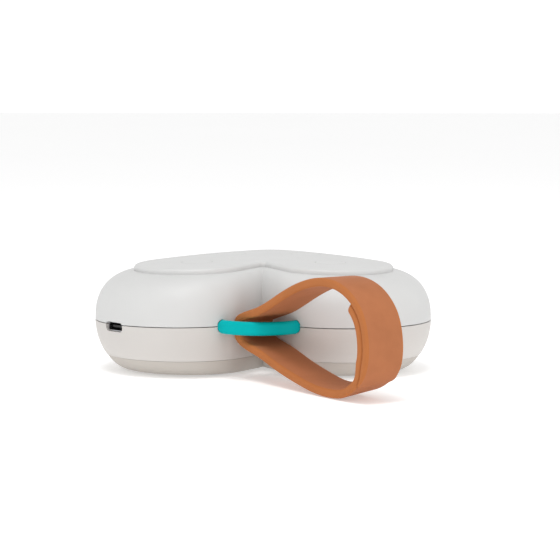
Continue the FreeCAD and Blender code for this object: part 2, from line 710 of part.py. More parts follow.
def board_components():
    """Chips and lead headers on the underside of the main board."""
    sizes = {(0, -12): (9, 9, 1.2), (16, -24): (5, 6, 1.0), (-16, -24): (5, 6, 1.0),
             (-26, -6): (6, 4, 1.6), (26, -6): (5, 4, 1.6), (0, 26): (6, 4, 1.6)}
    return [block((x, y, BOARD_Z - h / 2), (w, d, h)) for (x, y), (w, d, h) in sizes.items()]


def display_module():
    w, d, h = DISPLAY
    return block((0, WINDOW_AT, BOARD_TOP + h / 2), (w, d, h))


def socket_shell():
    outer = rounded_bar(0, SOCKET_L, SOCKET_W, SOCKET_H, SOCKET_CORNER, SOCKET_Z)
    inner = rounded_bar(-1, SOCKET_L + 1, SOCKET_W - 2 * SOCKET_WALL, SOCKET_H - 2 * SOCKET_WALL,
                        SOCKET_CORNER - SOCKET_WALL, SOCKET_Z)
    shell = outer.cut(inner)
    shell.translate(V(LOBE_R - SOCKET_RECESS - SOCKET_L, 0, 0))
    return socket_place(shell)


def socket_tongue():
    w, h = SOCKET_W - 2 * SOCKET_WALL - 2 * FIT, SOCKET_H - 2 * SOCKET_WALL - 2 * FIT
    block_back = rounded_bar(0, 2.2, w, h, SOCKET_CORNER - SOCKET_WALL - FIT, SOCKET_Z)
    blade = box(2, SOCKET_L - 0.8, -3.3, 3.3, SOCKET_Z - 0.35, SOCKET_Z + 0.35)
    tongue = block_back.fuse(blade)
    tongue.translate(V(LOBE_R - SOCKET_RECESS - SOCKET_L, 0, 0))
    return socket_place(tongue)


def socket_board():
    length, width, thick = SOCKET_BOARD
    return socket_place(box(SOCKET_BOARD_R - length, SOCKET_BOARD_R, -width / 2, width / 2,
                            SOCKET_BOARD_TOP - thick, SOCKET_BOARD_TOP))


def charge_components():
    """The same on the socket board."""
    sites = ((SOCKET_BOARD_R - 8.5, 0, 5, 5, 2.4), (SOCKET_BOARD_R - 15, 3, 4, 4, 1.0),
             (SOCKET_BOARD_R - 15, -4, 3, 4, 1.4))
    return [socket_place(box(x - w / 2 - 2, x + w / 2 - 2, y - d / 2, y + d / 2,
                             SOCKET_BOARD_TOP, SOCKET_BOARD_TOP + h)) for x, y, w, d, h in sites]


def cell(z):
    body = block((CELL_AT[0], CELL_AT[1], z + CELL[2] / 2), CELL)
    upright = [e for e in body.Edges if abs(e.tangentAt(e.FirstParameter).z) > 0.9]
    return body.makeFillet(2.0, upright)


def add_electronics():
    parts["main_board"] = main_board()
    parts["circuit_components"] = Part.makeCompound(board_components() + charge_components())
    parts["display_module"] = display_module()
    parts["socket_shell"] = socket_shell()
    parts["socket_tongue"] = socket_tongue()
    parts["socket_board"] = socket_board()
    upper_cell_z = CELL_Z + CELL[2] + CELL_FOAM
    parts["lower_battery_cell"] = cell(CELL_Z)
    parts["upper_battery_cell"] = cell(upper_cell_z)
    parts["battery_foam"] = block((CELL_AT[0], CELL_AT[1], CELL_Z + CELL[2] + CELL_FOAM / 2),
                                  (CELL[0] - 4, CELL[1] - 6, CELL_FOAM))


# ---------------------------------------------------------------- vacuum pump
CAP_X = MOTOR_X + MOTOR_L                 # commutator end of the can
FRAME_X = MOTOR_X - FRAME_L               # diaphragm end of the frame
VALVE_PLATE_X = FRAME_X - DIAPHRAGM_T - VALVE_T
HEAD_X = VALVE_PLATE_X - HEAD_T
PIVOT_X = FRAME_X + 1.6                   # the wobble bracket rocks about this point


def on_pump(radius, x0, x1, off_y=0.0, off_z=0.0):
    return rod(radius, (x0, PUMP_Y + off_y, PUMP_Z + off_z), x1 - x0, X)


def chamber_offsets():
    angles = [pi / 2 + 2 * pi * i / CHAMBERS for i in range(CHAMBERS)]
    return [(CHAMBER_PITCH * cos(a), CHAMBER_PITCH * sin(a)) for a in angles]


def screw_offsets():
    angles = [pi / 2 + pi / CHAMBERS + 2 * pi * i / CHAMBERS for i in range(CHAMBERS)]
    return [(PUMP_SCREW_PITCH * cos(a), PUMP_SCREW_PITCH * sin(a)) for a in angles]


def motor_can():
    body = on_pump(MOTOR_R, MOTOR_X, CAP_X)
    hollow = on_pump(MOTOR_R - MOTOR_WALL, MOTOR_X + MOTOR_WALL, CAP_X + 1)
    return body.cut([hollow, on_pump(BUSH_R + FIT, MOTOR_X - 1, CAP_X)])


def motor_cap():
    body = on_pump(MOTOR_R, CAP_X, CAP_X + CAP_T)
    collar = on_pump(MOTOR_R - MOTOR_WALL - FIT, CAP_X - 2, CAP_X + FIT)
    body = body.fuse(collar.cut(on_pump(MOTOR_R - MOTOR_WALL - 1.4, CAP_X - 3, CAP_X)))
    return body.cut(on_pump(BUSH_R + FIT, CAP_X - 1, CAP_X + CAP_T + 1))


def bush(x0, length):
    return on_pump(BUSH_R, x0, x0 + length).cut(on_pump(SHAFT_R + SHAFT_FIT, x0 - 1, x0 + length + 1))


def magnets():
    ring = on_pump(MOTOR_R - MOTOR_WALL, MOTOR_X + 4, CAP_X - 4)
    ring = ring.cut(on_pump(MAGNET_R, MOTOR_X, CAP_X))
    gap = box(MOTOR_X, CAP_X, PUMP_Y - 2.4, PUMP_Y + 2.4, 0, 60)
    return ring.cut(gap)


def armature():
    """Three-pole core with its windings as plain drums, and the commutator."""
    core = on_pump(ARMATURE_R, MOTOR_X + 6, CAP_X - 6)
    slots = []
    for i in range(3):
        a = pi / 2 + 2 * pi * i / 3
        slots.append(on_pump(1.4, MOTOR_X + 5, CAP_X - 5, 5.6 * cos(a), 5.6 * sin(a)))
    coils = on_pump(4.6, MOTOR_X + 4.2, CAP_X - 4.2)
    commutator = on_pump(2.4, CAP_X - 4.3, CAP_X - 0.6)
    return core.cut(slots).fuse([coils, commutator]).cut(on_pump(SHAFT_R, MOTOR_X, CAP_X + 1))


def pump_frame():
    body = on_pump(FRAME_R, FRAME_X, MOTOR_X)
    hollow = on_pump(FRAME_R - FRAME_WALL, FRAME_X - 1, MOTOR_X - 1.4)
    lugs = [on_pump(PUMP_SCREW_R + 0.9, FRAME_X, MOTOR_X - 1, y, z) for y, z in screw_offsets()]
    body = body.cut(hollow).fuse([lug.common(body) for lug in lugs])
    holes = [on_pump(PUMP_SCREW_R + SCREW_FIT, FRAME_X - 1, FRAME_X + 6, y, z) for y, z in screw_offsets()]
    return body.cut(holes + [on_pump(BUSH_R + 0.3, MOTOR_X - 3, MOTOR_X + 1)])


def eccentric():
    body = on_pump(ECCENTRIC_R, ECCENTRIC_X, ECCENTRIC_X + ECCENTRIC_T)
    body = body.cut(on_pump(SHAFT_R, ECCENTRIC_X + 0.8, ECCENTRIC_X + ECCENTRIC_T + 1))
    return body.cut(on_pump(CRANK_R, ECCENTRIC_X - 1, ECCENTRIC_X + 0.8, CRANK_OFFSET))


def crank_pin():
    return on_pump(CRANK_R, ECCENTRIC_X - 2.6, ECCENTRIC_X + 0.8, CRANK_OFFSET)


def wobble_bracket():
    """Plate with one arm per chamber. Its socket leaves room for the crank pin's orbit."""
    hub = on_pump(2.6, PIVOT_X, ECCENTRIC_X - 0.6)
    socket = on_pump(CRANK_R + CRANK_OFFSET + CRANK_PLAY, ECCENTRIC_X - 3.4, ECCENTRIC_X)
    arms = []
    for y, z in chamber_offsets():
        arm = box(PIVOT_X, PIVOT_X + 1.4, PUMP_Y - 1.1, PUMP_Y + 1.1, PUMP_Z, PUMP_Z + CHAMBER_PITCH)
        arm.rotate(V(0, PUMP_Y, PUMP_Z), X, -90 + 57.29578 * atan2(z, y))
        arms += [arm, on_pump(1.9, PIVOT_X, PIVOT_X + 1.4, y, z)]
    return hub.fuse(arms).removeSplitter().cut(socket)


def diaphragm():
    body = on_pump(FRAME_R, FRAME_X - DIAPHRAGM_T, FRAME_X)
    cups = [on_pump(2.6, FRAME_X - FIT, PIVOT_X - 0.45, y, z) for y, z in chamber_offsets()]
    hollows = [on_pump(1.7, FRAME_X - DIAPHRAGM_T - 1, PIVOT_X - 1.0, y, z) for y, z in chamber_offsets()]
    holes = [on_pump(PUMP_SCREW_R + SCREW_PASS, FRAME_X - 9, FRAME_X + 9, y, z) for y, z in screw_offsets()]
    return body.fuse(cups).cut(hollows + holes)


def valve_plate():
    body = on_pump(FRAME_R, VALVE_PLATE_X, VALVE_PLATE_X + VALVE_T)
    ports = [on_pump(0.5, VALVE_PLATE_X - 1, VALVE_PLATE_X + 9, y, z + side * 1.1)
             for y, z in chamber_offsets() for side in (-1, 1)]
    stems = [on_pump(0.45, VALVE_PLATE_X - 1, VALVE_PLATE_X + 9, y, z) for y, z in chamber_offsets()]
    holes = [on_pump(PUMP_SCREW_R + SCREW_PASS, FRAME_X - 9, FRAME_X + 9, y, z) for y, z in screw_offsets()]
    return body.cut(ports + stems + holes)


def check_valves():
    discs = []
    for y, z in chamber_offsets():
        flap = on_pump(1.8, VALVE_PLATE_X - 0.4, VALVE_PLATE_X, y, z)
        discs.append(flap.fuse(on_pump(0.4, VALVE_PLATE_X - FIT, VALVE_PLATE_X + VALVE_T - 0.2, y, z)))
    return Part.makeCompound(discs)


def pump_head():
    rise = HOSE_Z - PUMP_Z
    body = on_pump(FRAME_R, HEAD_X, VALVE_PLATE_X)
    body = body.cut(on_pump(8.2, HEAD_X + 1.5, VALVE_PLATE_X + 1))
    body = body.fuse([on_pump(PUMP_SCREW_R + 1.1, HEAD_X, VALVE_PLATE_X, y, z) for y, z in screw_offsets()])
    body = body.common(on_pump(FRAME_R, HEAD_X, VALVE_PLATE_X))
    body = body.fuse(on_pump(NOZZLE_R, HEAD_X - NOZZLE_L, HEAD_X + FIT, 0, rise))
    holes = [on_pump(PUMP_SCREW_R + SCREW_PASS, HEAD_X - 1, FRAME_X + 9, y, z) for y, z in screw_offsets()]
    holes += [on_pump(PUMP_SCREW_R + 0.7, HEAD_X - 1, HEAD_X + 1.2, y, z) for y, z in screw_offsets()]
    return body.cut(holes + [on_pump(NOZZLE_BORE, HEAD_X - 20, HEAD_X + 2, 0, rise)])


def pump_screws():
    """Screws from the head into the frame, with sunk heads."""
    screws = []
    for y, z in screw_offsets():
        shank = on_pump(PUMP_SCREW_R, HEAD_X + 0.2, FRAME_X + 5, y, z)
        screws.append(shank.fuse(on_pump(PUMP_SCREW_R + 0.6, HEAD_X + 0.2, HEAD_X + 1.15, y, z)))
    return Part.makeCompound(screws)


def pump_mount(x0, x1, radius):
    saddle = box(x0, x1, PUMP_Y - 7, PUMP_Y + 7, INNER_FLOOR_Z, PUMP_Z - 4)
    return saddle.cut(on_pump(radius + FIT, x0 - 1, x1 + 1))


def add_pump():
    parts["motor_can"] = motor_can()
    parts["motor_end_cap"] = motor_cap()
    parts["motor_bushes"] = Part.makeCompound([bush(MOTOR_X - 0.6, 2.0), bush(CAP_X - 0.4, 1.8)])
    parts["motor_magnets"] = magnets()
    parts["motor_armature"] = armature()
    parts["motor_shaft"] = on_pump(SHAFT_R, ECCENTRIC_X + 0.8, CAP_X + CAP_T + 0.8)
    parts["pump_frame"] = pump_frame()
    parts["eccentric"] = eccentric()
    parts["crank_pin"] = crank_pin()
    parts["wobble_bracket"] = wobble_bracket()
    parts["diaphragm"] = diaphragm()
    parts["valve_plate"] = valve_plate()
    parts["check_valves"] = check_valves()
    parts["pump_head"] = pump_head()
    parts["pump_screws"] = pump_screws()
    parts["pump_mounts"] = Part.makeCompound([pump_mount(FRAME_X + 2, FRAME_X + 7, FRAME_R),
                                              pump_mount(CAP_X - 8, CAP_X - 3, MOTOR_R)])


# ---------------------------------------------------------------- vent valve
FRAME_TOP_Z = VALVE_Z + VALVE_FRAME_H
COIL_Z0, COIL_Z1 = VALVE_Z + VALVE_PLATE, FRAME_TOP_Z - VALVE_PLATE
PLUNGER_Z0 = COIL_Z0 + PLUNGE_TRAVEL + SPRING_SQUEEZED
PLUNGER_Z1 = FRAME_TOP_Z + 0.6


def on_valve(radius, z0, z1):
    return rod(radius, (VALVE_AT[0], VALVE_AT[1], z0), z1 - z0)


def valve_frame():
    cx, cy = VALVE_AT
    body = block((cx, cy, (VALVE_Z + FRAME_TOP_Z) / 2), (VALVE_W, VALVE_W, VALVE_FRAME_H))
    window = (VALVE_W + 2, VALVE_W - 2 * VALVE_PLATE, COIL_Z1 - COIL_Z0)
    hollow = block((cx, cy, (COIL_Z0 + COIL_Z1) / 2), window)
    return body.cut([hollow, on_valve(PLUNGE_R + 0.3, COIL_Z1 - 1, FRAME_TOP_Z + 1)])


def valve_coil():
    """Bobbin and winding, with a sleeve that guides the plunger."""
    drum = on_valve(COIL_R, COIL_Z0 + FIT, COIL_Z1 - FIT)
    return drum.cut(on_valve(PLUNGE_R + PLUNGE_FIT, COIL_Z0 - 1, COIL_Z1 + 1))


def valve_plunger():
    core = on_valve(PLUNGE_R, PLUNGER_Z0, PLUNGER_Z1)
    return core.cut(on_valve(SPRING_SEAT_R, PLUNGER_Z0 - 1, PLUNGER_Z0 + SPRING_POCKET))


def valve_spring():
    low = COIL_Z0 + SPRING_WIRE + FIT
    high = PLUNGER_Z0 + SPRING_POCKET - SPRING_WIRE - FIT
    helix = Part.makeHelix((high - low) / 3, high - low, SPRING_R)
    start = V(SPRING_R, 0, 0)
    ring = Part.Wire([Part.makeCircle(SPRING_WIRE, start, V(0, 1, 0.15))])
    spring = Part.Wire(helix).makePipeShell([ring], True, True)
    spring.translate(V(VALVE_AT[0], VALVE_AT[1], low))
    return spring


def valve_head():
    cx, cy = VALVE_AT
    body = block((cx, cy, (FRAME_TOP_Z + VALVE_HEAD_Z) / 2), (VALVE_W, VALVE_W, VALVE_HEAD_Z - FRAME_TOP_Z))
    body = body.fuse(rod(NOZZLE_R, (cx, cy + VALVE_W / 2 - FIT, HOSE_Z), NOZZLE_L, Y))
    chamber = on_valve(PLUNGE_R + 0.5, FRAME_TOP_Z - 1, PLUNGER_Z1 + SEAL_T + PLUNGE_SPACE)
    way = [rod(NOZZLE_BORE, (cx, cy, HOSE_Z), 20, Y), on_valve(0.6, PLUNGER_Z1, HOSE_Z)]
    vent = rod(0.6, (cx, cy - VALVE_W, FRAME_TOP_Z + 0.9), VALVE_W, Y)
    return body.cut([chamber, vent] + way)


def add_valve():
    parts["valve_frame"] = valve_frame()
    parts["valve_coil"] = valve_coil()
    parts["valve_plunger"] = valve_plunger()
    parts["valve_seal"] = on_valve(PLUNGE_R - 0.2, PLUNGER_Z1, PLUNGER_Z1 + SEAL_T)
    parts["valve_spring"] = valve_spring()
    parts["valve_head"] = valve_head()


# ---------------------------------------------------------------- hoses, tee and outlet port
def rounded_path(points):
    """Straight runs joined by tangent arcs; each arc takes 0.45 of the shorter run at its corner."""
    edges, last = [], points[0]
    for before, corner, after in zip(points, points[1:], points[2:]):
        way_in, way_out = corner - before, after - corner
        turn = way_in.getAngle(way_out)
        reach = 0.45 * min(way_in.Length, way_out.Length)
        a = corner - way_in.normalize() * reach
        b = corner + way_out.normalize() * reach
        radius = reach / tan(turn / 2)
        to_center = (way_out - way_in).normalize() * (radius / cos(turn / 2))
        middle = corner + to_center - (way_out - way_in).normalize() * radius
        edges += [Part.makeLine(last, a), Part.Arc(a, middle, b).toShape()]
        last = b
    return Part.Wire(edges + [Part.makeLine(last, points[-1])])


def swept(path, radius):
    edge = path.Edges[0]
    start, along = edge.valueAt(edge.FirstParameter), edge.tangentAt(edge.FirstParameter)
    profile = Part.Wire([Part.makeCircle(radius, start, along)])
    return path.makePipeShell([profile], True, False)


def hose(points):
    path = rounded_path([V(x, y, HOSE_Z) for x, y in points])
    return swept(path, HOSE_R).cut(swept(path, HOSE_BORE))


def tee():
    arms = rod(NOZZLE_R, (-TEE_ARM, TEE_Y, HOSE_Z), 2 * TEE_ARM, X)
    stem = rod(NOZZLE_R, (0, TEE_Y, HOSE_Z), TEE_ARM, Y)
    body = arms.fuse([stem, block((0, TEE_Y, HOSE_Z), (5, 5, 5))])
    ways = [rod(NOZZLE_BORE, (-TEE_ARM - 1, TEE_Y, HOSE_Z), 2 * TEE_ARM + 2, X),
            rod(NOZZLE_BORE, (0, TEE_Y, HOSE_Z), TEE_ARM + 1, Y)]
    return body.cut(ways)


def outlet_port():
    """Fitting with a socket for the tube's plug, clamped against the shell's seat."""
    end, inner = TIP_Y + PORT_PROUD, TIP_Y - PORT_WALL - PORT_SEAL
    body = rod(PORT_R, (0, end, HOSE_Z), end - inner + PORT_TAIL, -Y)
    body = body.fuse(rod(PORT_FLANGE_R, (0, inner, HOSE_Z), PORT_FLANGE_T, -Y))
    body = body.fuse(rod(NOZZLE_R, (0, inner, HOSE_Z), PORT_BARB_L, -Y))
    socket = rod(PORT_BORE, (0, end + 1, HOSE_Z), PORT_DEPTH + 1, -Y)
    return body.cut([socket, rod(NOZZLE_BORE, (0, end, HOSE_Z), end - TEE_Y, -Y)])


def add_air_path():
    cx, cy = VALVE_AT
    left, right = -PIPE_X, cx
    start = TEE_BODY
    parts["pump_hose"] = hose([(-start, TEE_Y), (left, TEE_Y), (left, PUMP_Y), (HEAD_X - HOSE_STOP, PUMP_Y)])
    parts["valve_hose"] = hose([(start, TEE_Y), (right, TEE_Y), (right, cy + VALVE_W / 2 + HOSE_STOP)])
    inner = TIP_Y - PORT_WALL - PORT_SEAL
    parts["outlet_hose"] = hose([(0, TEE_Y + TEE_BODY), (0, inner - PORT_TAIL - HOSE_STOP)])
    parts["hose_tee"] = tee()
    parts["outlet_port"] = outlet_port()
    parts["outlet_seal"] = tube(PORT_FLANGE_R, PORT_R + FIT, (0, TIP_Y - PORT_WALL, HOSE_Z), PORT_SEAL, -Y)


# ---------------------------------------------------------------- leads
def lead(points):
    return swept(rounded_path([V(*p) for p in points]), LEAD_R)


def add_leads():
    low = BOARD_Z - 0.4
    cell_x, cell_y = CELL_AT
    rear = cell_y + CELL[1] / 2
    parts["battery_lead"] = lead([(24, rear, 20), (24, rear + 1.7, 20), (24, rear + 1.7, low)])
    parts["motor_lead"] = lead([(CAP_X + CAP_T, PUMP_Y + 5, 16), (CAP_X + CAP_T + 2.6, PUMP_Y + 5, 16),
                                (CAP_X + CAP_T + 2.6, PUMP_Y + 5, BOARD_Z)])
    parts["valve_lead"] = lead([(cell_x + 6, 1.5, 12), (cell_x + 6, 1.5, BOARD_Z)])


def main():
    os.makedirs("parts", exist_ok=True)
    parts["upper_shell"] = upper_shell()
    parts["lower_shell"] = lower_shell()
    parts["base_cover"] = base_cover()
    parts["strap_ring"] = strap_ring()
    parts["strap"] = strap()
    for add in (add_panel, add_fasteners, add_electronics, add_pump, add_valve, add_air_path, add_leads):
        add()
    for name, shape in parts.items():
        print(name, shape.isValid(), len(shape.Solids), round(shape.Volume, 1))
        shape.exportStep("parts/" + name + ".step")


if __name__ == "__main__":
    main()
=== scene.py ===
"""Looks of the breast pump motor unit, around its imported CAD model. All sizes are in metres."""

import json
from math import cos, pi, radians, sin

import bmesh
import bpy
import numpy as np
from mathutils import Euler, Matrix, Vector


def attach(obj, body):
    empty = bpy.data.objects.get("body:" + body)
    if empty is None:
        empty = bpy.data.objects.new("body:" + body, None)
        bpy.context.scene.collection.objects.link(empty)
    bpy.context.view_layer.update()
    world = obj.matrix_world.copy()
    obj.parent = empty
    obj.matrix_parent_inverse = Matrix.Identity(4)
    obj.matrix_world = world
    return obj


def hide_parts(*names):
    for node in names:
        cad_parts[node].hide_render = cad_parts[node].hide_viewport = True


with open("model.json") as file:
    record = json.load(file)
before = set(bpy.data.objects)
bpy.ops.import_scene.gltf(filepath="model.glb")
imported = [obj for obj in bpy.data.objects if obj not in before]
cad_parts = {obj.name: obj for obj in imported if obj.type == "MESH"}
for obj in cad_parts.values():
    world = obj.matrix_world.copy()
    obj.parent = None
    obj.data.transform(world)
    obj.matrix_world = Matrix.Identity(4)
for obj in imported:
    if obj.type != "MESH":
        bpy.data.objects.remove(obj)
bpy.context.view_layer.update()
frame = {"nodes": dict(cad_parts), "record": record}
MM = 0.001

# ---------------------------------------------------------------- sizes shared with the CAD strap
STRAP_T = 2.9 * MM
STRAP_W = 15.0 * MM
STRAP_YAW = radians(36.5)                 # how far the strap leans from straight ahead towards +X
STRAP_BACK = Vector((-9.2, -47.5, 0)) * MM     # near corner of the strap, where it turns behind the bar
STRAP_OUTLINE = (                         # (reach, height) of the outer face, in millimetres
    (0.0, 17.6), (0.9, 21.2), (4.2, 23.1), (13.7, 25.9), (27.5, 31.9), (38.3, 36.3),
    (47.0, 38.6), (56.0, 39.3), (64.3, 37.9), (71.4, 34.2), (76.4, 28.6), (78.8, 20.6),
    (78.2, 12.4), (74.6, 6.2), (67.6, 1.6), (58.5, 0.1), (47.2, 0.8), (38.3, 2.5),
    (24.8, 5.9), (13.7, 9.2), (4.2, 11.7), (0.9, 13.9))
STRAP_EDGE_R = 0.95 * MM                  # rounding of the long edges
STRAP_CORNER_R = 2.6 * MM                 # rounding of the ends, seen on the flat
OUTER_END_Z = 4.6 * MM                    # the outer layer ends low on the far side
INNER_END_Z = 31.6 * MM                   # the inner layer ends high on the far side
SKIVE = 9.5 * MM                          # length over which the outer layer's end is thinned
SKIVE_T = 0.6 * MM                        # thickness left at its tip
RUN_UNDER = 11.0 * MM                     # length over which the lower run slips under the outer layer
LAYER_GAP = 0.04 * MM
SPAN_SAMPLES = 24                         # stations between two points of the outline
FAR_SIDE = 60 * MM                        # beyond this reach lies the lap
CORNER_STEPS = 5                          # facets of each rounded corner of the section
FACE_PERIOD = 2 * (CORNER_STEPS + 1)      # the two flat faces lie this many strips apart
END_ROUNDING = 0.32                       # rounding of the ends, as a share of the thickness
FAR_EDGE_LIFT = 2.2 * MM                  # the lower run's +X edge stands clear of the table
LIFT_REACH = (44 * MM, 66 * MM)           # where that lift grows
LIFT_HEIGHT = 15 * MM                     # and the height by which it is gone

# ---------------------------------------------------------------- camera
CAMERA_AT = Vector((42.88, -822.77, 109.92)) * MM
CAMERA_YAW = 0.046                        # radians, turned left from straight ahead
CAMERA_PITCH = 0.097                      # radians, looking down
CAMERA_LENS = 144.63


# ---------------------------------------------------------------- node helpers
def new_material(name):
    """A node material with its Principled shader and its object coordinates."""
    material = bpy.data.materials.new(name)
    material.use_nodes = True
    nodes = material.node_tree.nodes
    coords = nodes.new("ShaderNodeTexCoord").outputs["Object"]
    return material, nodes["Principled BSDF"], coords


def add_node(material, kind, inputs=None, **settings):
    node = material.node_tree.nodes.new(kind)
    for key, value in settings.items():
        setattr(node, key, value)
    for key, value in (inputs or {}).items():
        if isinstance(value, bpy.types.NodeSocket):
            material.node_tree.links.new(value, node.inputs[key])
        else:
            node.inputs[key].default_value = value
    return node


def link(material, source, target):
    material.node_tree.links.new(source, target)


def noise(material, coords, size, detail=3.0, rough=0.55):
    """Noise whose blotches are about `size` metres across."""
    inputs = {"Vector": coords, "Scale": 1.0 / size, "Detail": detail, "Roughness": rough}
    return add_node(material, "ShaderNodeTexNoise", inputs).outputs["Fac"]


def spread(material, value, low, high):
    """Maps a 0.3 to 0.7 noise onto low to high."""
    inputs = {"Value": value, "From Min": 0.3, "From Max": 0.7, "To Min": low, "To Max": high}
    return add_node(material, "ShaderNodeMapRange", inputs).outputs["Result"]


def shade_between(material, value, dark, light):
    """A colour ramp between two linear colours."""
    ramp = add_node(material, "ShaderNodeValToRGB", {"Fac": value})
    ramp.color_ramp.elements[0].position = 0.3
    ramp.color_ramp.elements[1].position = 0.7
    ramp.color_ramp.elements[0].color = (*dark, 1)
    ramp.color_ramp.elements[1].color = (*light, 1)
    return ramp.outputs["Color"]


def bump(material, shader, height, depth, strength=1.0):
    inputs = {"Height": height, "Distance": depth, "Strength": strength}
    link(material, add_node(material, "ShaderNodeBump", inputs).outputs["Normal"], shader.inputs["Normal"])


def varied(colour, amount):
    """The colour made lighter or darker by this share."""
    return tuple(min(1.0, c * (1 + amount)) for c in colour)


def linear(*srgb):
    """Linear colour of an sRGB colour given in 0 to 255."""
    parts = [c / 255 for c in srgb]
    return tuple(c / 12.92 if c <= 0.04045 else ((c + 0.055) / 1.055) ** 2.4 for c in parts)


# ---------------------------------------------------------------- materials
def moulded(name, colour, rough=0.5, grain=0.35 * MM, depth=0.006 * MM, vary=0.015, coat=0.0,
            gloss=0.5):
    """Moulded plastic or rubber: spark-eroded grain, and a faint cloud in its colour and gloss."""
    material, shader, coords = new_material(name)
    cloud = noise(material, coords, 18 * MM)
    fine = noise(material, coords, grain, detail=2.0)
    tint = shade_between(material, cloud, varied(colour, -vary), varied(colour, vary))
    link(material, tint, shader.inputs["Base Color"])
    link(material, spread(material, fine, rough - 0.04, rough + 0.04), shader.inputs["Roughness"])
    shader.inputs["Coat Weight"].default_value = coat
    shader.inputs["Coat Roughness"].default_value = 0.18
    shader.inputs["Specular IOR Level"].default_value = gloss
    bump(material, shader, fine, depth)
    return material


def metal(name, colour, rough=0.3, along=(1, 1, 1)):
    """Drawn or turned metal, with fine lines drawn out along the axes with a small factor."""
    material, shader, coords = new_material(name)
    stretch = add_node(material, "ShaderNodeMapping", {"Vector": coords, "Scale": along}).outputs["Vector"]
    lines = noise(material, stretch, 0.25 * MM, detail=4.0)
    link(material, shade_between(material, lines, varied(colour, -0.12), colour), shader.inputs["Base Color"])
    link(material, spread(material, lines, rough - 0.08, rough + 0.1), shader.inputs["Roughness"])
    shader.inputs["Metallic"].default_value = 1.0
    bump(material, shader, lines, 0.004 * MM)
    return material


def leather(name, colour, rough, vary=0.06):
    """Smooth finished leather, nearly without gloss: a pebble of fine cells and soft clouds."""
    material, shader, coords = new_material(name)
    cloud = noise(material, coords, 9 * MM, detail=4.0)
    cells = add_node(material, "ShaderNodeTexVoronoi", {"Vector": coords, "Scale": 1.0 / (0.55 * MM)})
    fine = noise(material, coords, 0.2 * MM, detail=3.0)
    grain = add_node(material, "ShaderNodeMath", {0: cells.outputs["Distance"], 1: fine}, operation="ADD")
    tint = shade_between(material, cloud, varied(colour, -vary), varied(colour, vary))
    link(material, tint, shader.inputs["Base Color"])
    link(material, spread(material, fine, rough - 0.06, rough + 0.06), shader.inputs["Roughness"])
    shader.inputs["Specular IOR Level"].default_value = 0.04
    bump(material, shader, grain.outputs["Value"], 0.012 * MM, 0.6)
    return material


def circuit_board(name):
    """Solder mask with copper tracks showing faintly under it."""
    material, shader, coords = new_material(name)
    tracks = add_node(material, "ShaderNodeTexBrick", {
        "Vector": coords, "Scale": 1.0, "Brick Width": 3.2 * MM, "Row Height": 1.1 * MM,
        "Mortar Size": 0.16 * MM, "Color1": (0.006, 0.075, 0.028, 1), "Color2": (0.008, 0.09, 0.034, 1),
        "Mortar": (0.03, 0.2, 0.08, 1)})
    link(material, tracks.outputs["Color"], shader.inputs["Base Color"])
    shader.inputs["Roughness"].default_value = 0.32
    bump(material, shader, tracks.outputs["Fac"], 0.03 * MM)
    return material


def foam(name):
    material, shader, coords = new_material(name)
    cells = add_node(material, "ShaderNodeTexVoronoi", {"Vector": coords, "Scale": 1.0 / (0.7 * MM)})
    tint = shade_between(material, cells.outputs["Distance"], (0.006, 0.006, 0.006), (0.03, 0.03, 0.03))
    link(material, tint, shader.inputs["Base Color"])
    shader.inputs["Roughness"].default_value = 0.95
    bump(material, shader, cells.outputs["Distance"], 0.25 * MM)
    return material


def dead_front(name, colour):
    """White display skin, a little smoother than the shell, with the faintest wipe marks."""
    material, shader, coords = new_material(name)
    wipes = noise(material, coords, 6 * MM, detail=5.0)
    link(material, shade_between(material, wipes, varied(colour, -0.01), colour), shader.inputs["Base Color"])
    link(material, spread(material, wipes, 0.44, 0.52), shader.inputs["Roughness"])
    return material


def make_materials():
    return {
        "shell_white": moulded("shell_white", linear(203, 203, 202), rough=0.52),
        "shell_grey": moulded("shell_grey", linear(202, 198, 194), rough=0.54),
        "base_grey": moulded("base_grey", linear(187, 181, 174), rough=0.6),
        "teal": moulded("teal", linear(0, 172, 174), rough=0.38, depth=0.003 * MM, vary=0.04,
                        gloss=0.05),
        "window_white": dead_front("window_white", linear(203, 203, 202)),
        "rubber_black": moulded("rubber_black", (0.012, 0.012, 0.012), rough=0.75),
        "rubber_grey": moulded("rubber_grey", linear(126, 124, 121), rough=0.8, grain=0.5 * MM,
                               depth=0.02 * MM),
        "key_white": moulded("key_white", linear(204, 204, 203), rough=0.5),
        "plastic_black": moulded("plastic_black", (0.01, 0.01, 0.011), rough=0.42),
        "plastic_white": moulded("plastic_white", linear(222, 222, 216), rough=0.5),
        "steel": metal("steel", (0.56, 0.56, 0.58), along=(0.2, 1, 1)),
        "board_green": circuit_board("board_green"),
        "cell_wrap": moulded("cell_wrap", (0.012, 0.05, 0.2), rough=0.3, grain=3 * MM,
                             depth=0.05 * MM, coat=0.3),
        "foam": foam("foam"),
        "brass": metal("brass", (0.68, 0.47, 0.17), rough=0.26, along=(1, 0.2, 1)),
        "magnet": moulded("magnet", (0.025, 0.025, 0.028), rough=0.6, depth=0.02 * MM),
        "copper": metal("copper", (0.55, 0.2, 0.08), rough=0.3, along=(3, 0.1, 0.1)),
        "silicone": moulded("silicone", linear(226, 229, 230), rough=0.35, grain=0.8 * MM, coat=0.2),
        "lead_red": moulded("lead_red", (0.4, 0.012, 0.01), rough=0.45),
        "lead_black": moulded("lead_black", (0.012, 0.012, 0.012), rough=0.45),
        "strap_tan": leather("strap_tan", linear(172, 110, 75), rough=0.55),
    }


def dress_nodes(materials):
    """Every CAD node takes the material of its slot."""
    for row in frame["record"]["subparts"]:
        mesh = frame["nodes"][row["node"]].data
        mesh.materials.clear()
        mesh.materials.append(materials[row["material_slot"]])


